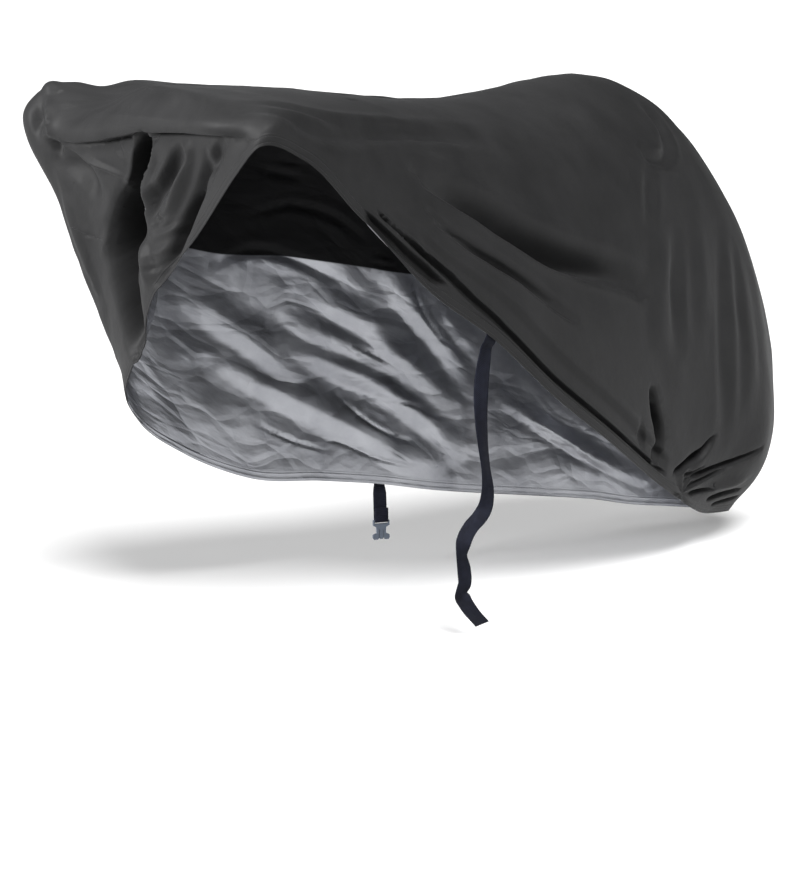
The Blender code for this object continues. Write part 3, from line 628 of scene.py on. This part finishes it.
class Shade:
    """A Principled material with a few helpers for its nodes. A socket is given by its name, with _ for a
    space, and takes a value or another node's output."""

    def __init__(self, name):
        self.material = bpy.data.materials.new(name)
        self.material.use_nodes = True
        self.tree = self.material.node_tree
        self.principled = self.tree.nodes["Principled BSDF"]

    def fill(self, socket, value):
        if isinstance(value, bpy.types.NodeSocket):
            self.tree.links.new(value, socket)
        else:
            socket.default_value = value

    def finish(self, **sockets):
        """The material, once its shader's own sockets are filled."""
        for name, value in sockets.items():
            self.fill(self.principled.inputs[name.replace("_", " ")], value)
        return self.material

    def node(self, kind, **values):
        made = self.tree.nodes.new(kind)
        for key, value in values.items():
            socket = key.replace("_", " ")
            if socket in made.inputs:
                self.fill(made.inputs[socket], value)
            else:
                setattr(made, key, value)
        return made

    def flat(self):
        """The place on the flat cloth or webbing, in metres."""
        return self.node("ShaderNodeUVMap", uv_map="flat").outputs["UV"]

    def split(self, vector):
        return self.node("ShaderNodeSeparateXYZ", Vector=vector).outputs

    def noise(self, **sockets):
        return self.node("ShaderNodeTexNoise", **sockets).outputs["Fac"]

    def maths(self, operation, *values):
        made = self.node("ShaderNodeMath", operation=operation)
        for socket, value in zip(made.inputs, values):
            self.fill(socket, value)
        return made.outputs[0]

    def mix(self, **sockets):
        return self.node("ShaderNodeMixRGB", **sockets).outputs["Color"]

    def between(self, value, **ends):
        """A value from one range put into another."""
        return self.node("ShaderNodeMapRange", Value=value, **ends).outputs["Result"]

    def ramp(self, source, *stops):
        made = self.node("ShaderNodeValToRGB", Fac=source)
        for element, (at, colour) in zip(made.color_ramp.elements, stops):
            element.position = at
            element.color = (*colour, 1.0)
        return made.outputs["Color"]

    def bump(self, height, strength, distance, **under):
        made = self.node("ShaderNodeBump", Height=height, Strength=strength, Distance=distance, **under)
        return made.outputs["Normal"]

    def waves(self, along, pitch):
        return self.maths("SINE", self.maths("MULTIPLY", along, 2.0 * math.pi / pitch))


def cloth_outside():
    """Black coated cloth: a close plain weave, a little cloudy, with a soft sheen."""
    shade = Shade("black_cloth")
    flat = shade.flat()
    cloudy = shade.noise(Vector=flat, Scale=9.0, Detail=5.0, Roughness=.6)
    soft = shade.bump(shade.noise(Vector=flat, Scale=34.0, Detail=4.0, Roughness=.55), .25, .004)
    along, up = shade.split(flat)[:2]
    weave = shade.maths("MULTIPLY", shade.waves(along, THREAD_PITCH), shade.waves(up, THREAD_PITCH))
    return shade.finish(
        Base_Color=shade.ramp(cloudy, (.30, (.0170, .0170, .0175)), (.70, (.0238, .0238, .0244))),
        Roughness=shade.between(cloudy, To_Min=.50, To_Max=.62),
        Specular_IOR_Level=.14,
        Sheen_Weight=.04,
        Sheen_Roughness=.45,
        Sheen_Tint=(.75, .76, .78, 1.0),
        Normal=shade.bump(weave, .12, .0002, Normal=soft),
    )


def cloth_inside():
    """Silver coating on the lower part of each side, and painted shade above it: the inside under the top is
    painted as dark as the black cloth.
    """
    shade = Shade("silver_and_painted_shade")
    flat = shade.flat()
    up = shade.maths("ABSOLUTE", shade.split(flat)[1])
    painted_shade = shade.between(up, From_Min=PAINTED_SHADE_FROM - PAINTED_SHADE_EDGE, From_Max=PAINTED_SHADE_FROM + PAINTED_SHADE_EDGE)
    cloudy = shade.noise(Vector=flat, Scale=5.0, Detail=5.0, Roughness=.55)
    silver = shade.ramp(cloudy, (.30, (.24, .246, .268)), (.72, (.43, .438, .465)))
    warp = shade.node("ShaderNodeTexNoise", Vector=flat, Scale=4.0, Detail=2.0).outputs["Color"]
    warped = shade.mix(Fac=.10, Color1=flat, Color2=warp)
    slant = (0.0, 0.0, math.radians(28.0))
    turn = shade.node("ShaderNodeMapping", Vector=warped, Rotation=slant, Scale=(.45, 1.0, 1.0))
    turned = turn.outputs["Vector"]
    under = {}
    for scale, depth, strength in ((7.0, .014, .55), (19.0, .006, .45)):
        creases = shade.node("ShaderNodeTexVoronoi", feature="DISTANCE_TO_EDGE", Vector=turned, Scale=scale)
        height = shade.maths("MINIMUM", creases.outputs["Distance"], .16)
        under = {"Normal": shade.bump(height, strength, depth, **under)}
    soft = shade.noise(Vector=turned, Scale=16.0, Detail=4.0, Roughness=.5)
    return shade.finish(
        # Painted shade: above the silver's edge the inside takes the black cloth's colour, no metal and more
        # roughness.
        Base_Color=shade.mix(Fac=painted_shade, Color1=silver, Color2=(.0155, .0155, .0165, 1.0)),
        Metallic=shade.maths("MULTIPLY", shade.maths("SUBTRACT", 1.0, painted_shade), .85),
        Roughness=shade.maths("ADD", shade.maths("MULTIPLY", painted_shade, .22), .35),
        Specular_IOR_Level=.09,
        Normal=shade.bump(soft, .30, .010, **under),
    )


def webbing(name, colour, pitch, ribbed):
    """Webbing with ribs straight across it, or else with the slanting lines of a chevron weave."""
    shade = Shade(name)
    flat = shade.flat()
    worn = shade.noise(Vector=flat, Scale=60.0, Detail=3.0)
    dark, light = (tuple(share * part for part in colour) for share in (.75, 1.3))
    across, along = shade.split(flat)[:2]
    if not ribbed:
        off = shade.maths("ABSOLUTE", shade.maths("SUBTRACT", across, 0.5 * WEBBING_WIDTH))
        along = shade.maths("ADD", along, off)
    return shade.finish(
        Base_Color=shade.ramp(worn, (.3, dark), (.7, light)),
        Roughness=.75,
        Specular_IOR_Level=.12,
        Sheen_Weight=.02,
        Sheen_Roughness=.4,
        Normal=shade.bump(shade.waves(along, pitch), .5, .0004),
    )


def plug_plastic():
    shade = Shade("grey_blue_plastic")
    grain = shade.bump(shade.noise(Scale=900.0, Detail=2.0), .15, .0003)
    return shade.finish(Base_Color=(.085, .105, .140, 1.0), Roughness=.38, Normal=grain)


def flat_beside(kept, nearest, points, index, flat):
    """The place on the flat cloth of points that lie a little off the nearest points of the fine sheet: the
    nearest point's own place, moved along the two ways of the cloth by as much as the point is off it."""
    columns, rows = index.shape
    column = np.zeros(len(points), int)
    row = np.zeros(len(points), int)
    # The table is read backwards, so that a point which both sides share keeps its first place in it.
    column[index[::-1, ::-1]] = np.arange(columns)[::-1, None]
    row[index[::-1, ::-1]] = np.arange(rows)[None, ::-1]
    column = column[nearest]
    row = row[nearest]
    ways = []
    for before, after in (
        ((np.maximum(column - 1, 0), row), (np.minimum(column + 1, columns - 1), row)),
        ((column, np.maximum(row - 1, 0)), (column, np.minimum(row + 1, rows - 1))),
    ):
        first = index[before]
        last = index[after]
        ways.append((points[last] - points[first], flat[last, :2] - flat[first, :2]))
    (a, flat_a), (b, flat_b) = ways
    off = kept - points[nearest]
    aa, ab, bb = (a * a).sum(axis=1), (a * b).sum(axis=1), (b * b).sum(axis=1)
    oa, ob = (off * a).sum(axis=1), (off * b).sum(axis=1)
    spread = np.maximum(aa * bb - ab * ab, 1e-18)
    share_a = np.clip((oa * bb - ob * ab) / spread, -1.0, 1.0)
    share_b = np.clip((ob * aa - oa * ab) / spread, -1.0, 1.0)
    moved = flat[nearest].copy()
    off_ridge = np.abs(row - ROWS) > 1
    shift = share_a[:, None] * flat_a + share_b[:, None] * flat_b
    moved[off_ridge, :2] += shift[off_ridge]
    moved[:, 1] = np.maximum(moved[:, 1], 0.0)
    return moved


def thin_out(points, quads, index, flat):
    """The same sheet in KEPT triangles, close together where it bends and wide apart where it is flat.
    Returns its points, triangles, places on the flat cloth and the fine sheet's normals there."""
    normals = normals_of(points, quads)
    mesh = bpy.data.meshes.new("fine_sheet")
    mesh.vertices.add(len(points))
    mesh.vertices.foreach_set("co", points.reshape(-1))
    mesh.loops.add(4 * len(quads))
    mesh.loops.foreach_set("vertex_index", quads.reshape(-1).astype(np.int32))
    mesh.polygons.add(len(quads))
    mesh.polygons.foreach_set("loop_start", np.arange(0, 4 * len(quads), 4, dtype=np.int32))
    mesh.update(calc_edges=True)
    fine = link("fine_sheet", mesh)
    thin = fine.modifiers.new("thin", "DECIMATE")
    thin.ratio = KEPT / (2.0 * len(quads))
    weights = fine.vertex_groups.new(name="weights")
    for chosen, weight in ((flat[:, 1] > HEM_ROWS_KEPT, 1.0), (flat[:, 1] <= HEM_ROWS_KEPT, HEM_WEIGHT)):
        weights.add([int(i) for i in np.nonzero(chosen)[0]], weight, "REPLACE")
    thin.vertex_group = "weights"
    shape = bmesh.new()
    shape.from_object(fine, bpy.context.evaluated_depsgraph_get())
    bmesh.ops.triangulate(shape, faces=shape.faces)
    kept = np.array([tuple(v.co) for v in shape.verts])
    triangles = np.array([[v.index for v in face.verts] for face in shape.faces])
    shape.free()
    bpy.data.objects.remove(fine, do_unlink=True)
    nearest = nearest_points(points, kept)
    return kept, triangles, flat_beside(kept, nearest, points, index, flat), normals[nearest]


def build_cloth(points, quads, index, flat):
    points, triangles, flat, normals = thin_out(points, quads, index, flat)
    thick = CLOTH + HEM_EXTRA * np.clip((HEM_TOP_INSIDE - flat[:, 1]) / HEM_SLOPE, 0.0, 1.0)
    inner = points - normals * thick[:, None]
    count = len(points)
    sides = np.concatenate([triangles[:, [0, 1]], triangles[:, [1, 2]], triangles[:, [2, 0]]])
    known = {(int(a), int(b)) for a, b in sides}
    rim = [(b, a, a + count, b + count) for a, b in known if (b, a) not in known]
    faces = triangles.tolist() + (triangles[:, ::-1] + count).tolist() + sorted(rim)
    slots = [0] * len(triangles) + [1] * len(triangles) + [0] * len(rim)
    uv = np.stack([flat[:, 0], flat[:, 2] * flat[:, 1]], axis=1)
    cover = mesh_object(
        "cover_sheet", np.concatenate([points, inner]), faces, [cloth_outside(), cloth_inside()],
        slots, np.concatenate([uv, uv]),
    )
    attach(cover, "root")
    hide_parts("cover_cloth")


def sewn_line(points, normals, index, flat, along, edge, length, lift):
    """Left, middle and right of the webbing where it lies on the cloth, this far along it from the nose:
    from the webbing's top down to the hem's edge."""
    where = flat[index[:, ROWS], 0]
    middle = float(np.interp(along, where, np.arange(len(where))))
    step = 1 if edge == 0 else -1
    taken = [edge + step * i for i in range(len(HEM_ROWS))]
    column_gap = np.linalg.norm(points[index[int(middle) + 1, edge]] - points[index[int(middle), edge]])
    rows = []
    for distance in np.linspace(length, 0.0, 6):
        across = []
        for side in (-1.0, 0.0, 1.0):
            at = middle + side * 0.5 * WEBBING_WIDTH / column_gap
            low = int(at)
            place = np.zeros(3)
            out = np.zeros(3)
            for column, weight in ((low, 1.0 - (at - low)), (low + 1, at - low)):
                line = index[column, taken]
                for total, values in ((place, points[line]), (out, normals[line])):
                    total += weight * np.array([np.interp(distance, HEM_ROWS, part) for part in values.T])
            across.append(place + unit(out) * lift)
        rows.append(across)
    return np.array(rows)


def ribbon(name, rows, count, rib_pitch, material):
    """A strip of webbing through rows of left, middle and right points, thin at its edges, with ribs if it
    has a pitch for them."""
    knots = run_along(rows[:, 1])
    run = np.linspace(0.0, knots[-1], count)
    fine = smooth_through(knots, rows, run)
    share = np.array(ACROSS)[:, None]
    left, middle, right = (fine[:, None, i] for i in range(3))
    strip = np.where(share < 0, middle + (left - middle) * -share, middle + (right - middle) * share)
    out = unit(np.cross(np.gradient(strip, axis=0), np.gradient(strip, axis=1)))
    thick = np.full(count, 0.5 * WEBBING)
    if rib_pitch:
        thick = thick - RIB_SHARE * WEBBING * (1.0 + np.cos(2.0 * math.pi * run / rib_pitch))
    full = np.where(np.abs(share[:, 0]) == 1.0, EDGE_SHARE, 1.0)
    half = (thick[:, None] * full[None, :])[..., None]
    ring = np.concatenate([strip + out * half, (strip - out * half)[:, ::-1]], axis=1)
    wide = ring.shape[1]
    faces = [
        (wide * i + j, wide * i + (j + 1) % wide, wide * (i + 1) + (j + 1) % wide, wide * (i + 1) + j)
        for i in range(count - 1)
        for j in range(wide)
    ]
    for first, turned in ((0, True), (wide * (count - 1), False)):
        for j in range(len(ACROSS) - 1):
            face = (first + j, first + j + 1, first + wide - 2 - j, first + wide - 1 - j)
            faces.append(face[::-1] if turned else face)
    u = (0.5 + 0.5 * share[:, 0]) * WEBBING_WIDTH
    uv = np.stack(np.broadcast_arrays(np.concatenate([u, u[::-1]])[None, :], run[:, None]), axis=2)
    made = mesh_object(name, ring.reshape(-1, 3), faces, [material], uv=uv.reshape(-1, 2))
    face_outwards(made)
    return made, float(knots[-1])


def build_long_strap(points, normals, index, flat):
    lift = -(CLOTH + HEM_EXTRA + SEAT_GAP + 0.5 * WEBBING)
    seat = sewn_line(points, normals, index, flat, LONG_STRAP_AT, 0, LONG_SEAT, lift)
    table = np.array([(row.x / 1000, row.y / 1000, row.z / 1000, row.turn) for row in LONG_STRAP])
    knots = run_along(table[:, :3])
    hung = smooth_through(knots, table, np.linspace(0.0, knots[-1], 60))
    slope = unit(np.gradient(hung[:, :3], axis=0))
    turn = np.radians(hung[:, 3])
    across = np.stack([np.cos(turn), np.sin(turn), np.zeros(len(turn))], axis=1)
    across = across - slope * (across * slope).sum(axis=1)[:, None]
    across = unit(across) * 0.5 * WEBBING_WIDTH
    fall = np.stack([hung[:, :3] - across, hung[:, :3], hung[:, :3] + across], axis=1)
    looks = webbing("navy_webbing", NAVY, CHEVRON_PITCH, False)
    strap, length = ribbon("long_webbing", np.concatenate([seat, fall]), 320, 0.0, looks)
    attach(strap, "root")
    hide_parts("long_strap")


def build_short_strap(points, normals, index, flat):
    """Down from its seat, round the bar of the plug and up again, to where it is sewn to itself."""
    seat = sewn_line(points, normals, index, flat, SHORT_STRAP_AT, -1, SHORT_SEAT, SEAT_GAP + 0.5 * WEBBING)
    turn = math.radians(SHORT_TURN)
    width = np.array([math.cos(turn), math.sin(turn), 0.0])
    away = np.array([-width[1], width[0], 0.0])
    up = np.array([0.0, 0.0, 1.0])
    low, high = (np.array(corner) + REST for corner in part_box("strap_plug"))
    bar = np.array([0.5 * (low[0] + high[0]), 0.5 * (low[1] + high[1]), high[2] - 0.5 * BAR_HIGH])
    radius = math.sqrt(0.5) * BAR_HIGH + BAR_GAP + 0.5 * WEBBING
    top = seat[-1, 1]
    fall = []
    for share in np.linspace(0.12, 1.0, 26):
        fall.append((top + (bar - top) * share + away * radius * eased(share), min(1.0, share * 4.0)))
    for angle in np.linspace(0.0, math.pi, 9)[1:]:
        fall.append((bar + away * radius * math.cos(angle) - up * radius * math.sin(angle), 1.0))
    for climb in np.linspace(0.0, SHORT_TAIL, 7)[1:]:
        fall.append((bar - away * radius + up * climb, 1.0))
    first = unit(seat[-1, 2] - seat[-1, 0])
    rows = []
    for place, turned in fall:
        side = unit((1.0 - turned) * first + turned * width) * 0.5 * WEBBING_WIDTH
        rows.append([place - side, place, place + side])
    looks = webbing("ribbed_navy_webbing", RIBBED_NAVY, RIB_PITCH, True)
    strap, length = ribbon("short_webbing", np.concatenate([seat, np.array(rows)]), 300, RIB_PITCH, looks)
    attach(strap, "root")
    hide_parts("short_strap")


def stitched_lines(points, normals, index):
    """Middle lines of the hem's stitching, each with the way out of the cloth beside it."""
    lines = []
    for edge, step, inside in ((0, 1, False), (-1, -1, False), (-1, -1, True)):
        for up in STITCHED:
            row = edge + step * HEM_ROWS.index(up)
            out = normals[index[:, row]]
            line = points[index[:, row]]
            if inside:
                line = line - out * (CLOTH + HEM_EXTRA)
                out = -out
            lines.append((line, out))
    return lines


def build_stitches(points, normals, index):
    """Every stitch of the hem and of the flap's seam, as one piece."""
    knots = (0.0, .04, .09, .15)
    seam = smooth_through(knots, np.array(FLAP_SEAM) / 1000, np.linspace(0.0, knots[-1], 60))
    nearest = nearest_points(points, seam)
    lines = stitched_lines(points, normals, index) + [(points[nearest], normals[nearest])]
    tip = ((-.3, -.4), (.3, -.4), (0.0, .1))
    body = ((-.5, .2), (.5, .2), (0.0, 1.0))
    sections = ((-.5, tip), (-.25, body), (.25, body), (.5, tip))
    corners = np.array([(at, *corner) for at, section in sections for corner in section]) * STITCH
    shape = [(0, 2, 1)]
    for i in (0, 3, 6):
        shape += [(i, i + 3, i + 5, i + 2), (i + 2, i + 5, i + 4, i + 1), (i + 1, i + 4, i + 3, i)]
    shape.append((9, 10, 11))
    places = []
    faces = []
    for line, out in lines:
        run = run_along(line)
        for middle in np.arange(.5 * STITCH_PITCH, run[-1], STITCH_PITCH):
            place, ahead, up = (
                np.array([np.interp(at, run, part) for part in values.T])
                for at, values in ((middle, line), (middle + .3 * STITCH[0], line), (middle, out))
            )
            up = unit(up)
            along = ahead - place
            along = unit(along - up * (along @ up))
            first = len(corners) * len(places)
            places.append(place + corners @ np.array([along, np.cross(up, along), up]))
            faces += [tuple(first + i for i in face) for face in shape]
    thread = Shade("thread").finish(Base_Color=(.030, .030, .032, 1.0), Roughness=.45)
    made = mesh_object("hem_stitches", np.concatenate(places), faces, [thread])
    face_outwards(made)
    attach(made, "root")


def lay_floor():
    mesh = bpy.data.meshes.new("floor")
    corners = [(x * FLOOR_REACH, y * FLOOR_REACH, GROUND) for x, y in ((-1, -1), (1, -1), (1, 1), (-1, 1))]
    mesh.from_pydata(corners, [], [(0, 1, 2, 3)])
    mesh.materials.append(Shade("pale_floor").finish(Base_Color=(.97, .97, .97, 1.0), Roughness=.8))
    floor = link("floor", mesh)
    floor.visible_diffuse = False  # so that its white doesn't grey the black cloth


def light_scene():
    world = bpy.data.worlds.new("studio")
    world.use_nodes = True
    background = world.node_tree.nodes["Background"].inputs
    background["Color"].default_value = (1.0, 1.0, 1.0, 1.0)
    background["Strength"].default_value = WORLD
    bpy.context.scene.world = world
    bpy.context.scene.view_settings.view_transform = "Standard"
    for name, towards, spread, strength in LIGHTS:
        light = bpy.data.lights.new(name, "SUN")
        light.angle = math.radians(spread)
        light.energy = strength
        link(name, light).rotation_euler = Vector(towards).to_track_quat("-Z", "Y").to_euler()


def place_camera():
    lens = bpy.data.cameras.new("camera")
    lens.sensor_fit = "HORIZONTAL"
    lens.sensor_width = FILM_WIDTH
    lens.lens = FOCAL_LENGTH
    lens.clip_end = 3.0 * FLOOR_REACH
    camera = link("camera", lens)
    camera.location = CAMERA_AT
    camera.rotation_euler = (Vector(CAMERA_AIM) - camera.location).to_track_quat("-Z", "Y").to_euler()
    bpy.context.scene.camera = camera


def main():
    points, quads, index, flat = drape()
    build_cloth(points, quads, index, flat)
    normals = normals_of(points, quads)
    build_long_strap(points, normals, index, flat)
    build_short_strap(points, normals, index, flat)
    build_stitches(points, normals, index)
    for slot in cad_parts["strap_plug"].material_slots:
        slot.material = plug_plastic()
    lay_floor()
    light_scene()
    place_camera()


main()
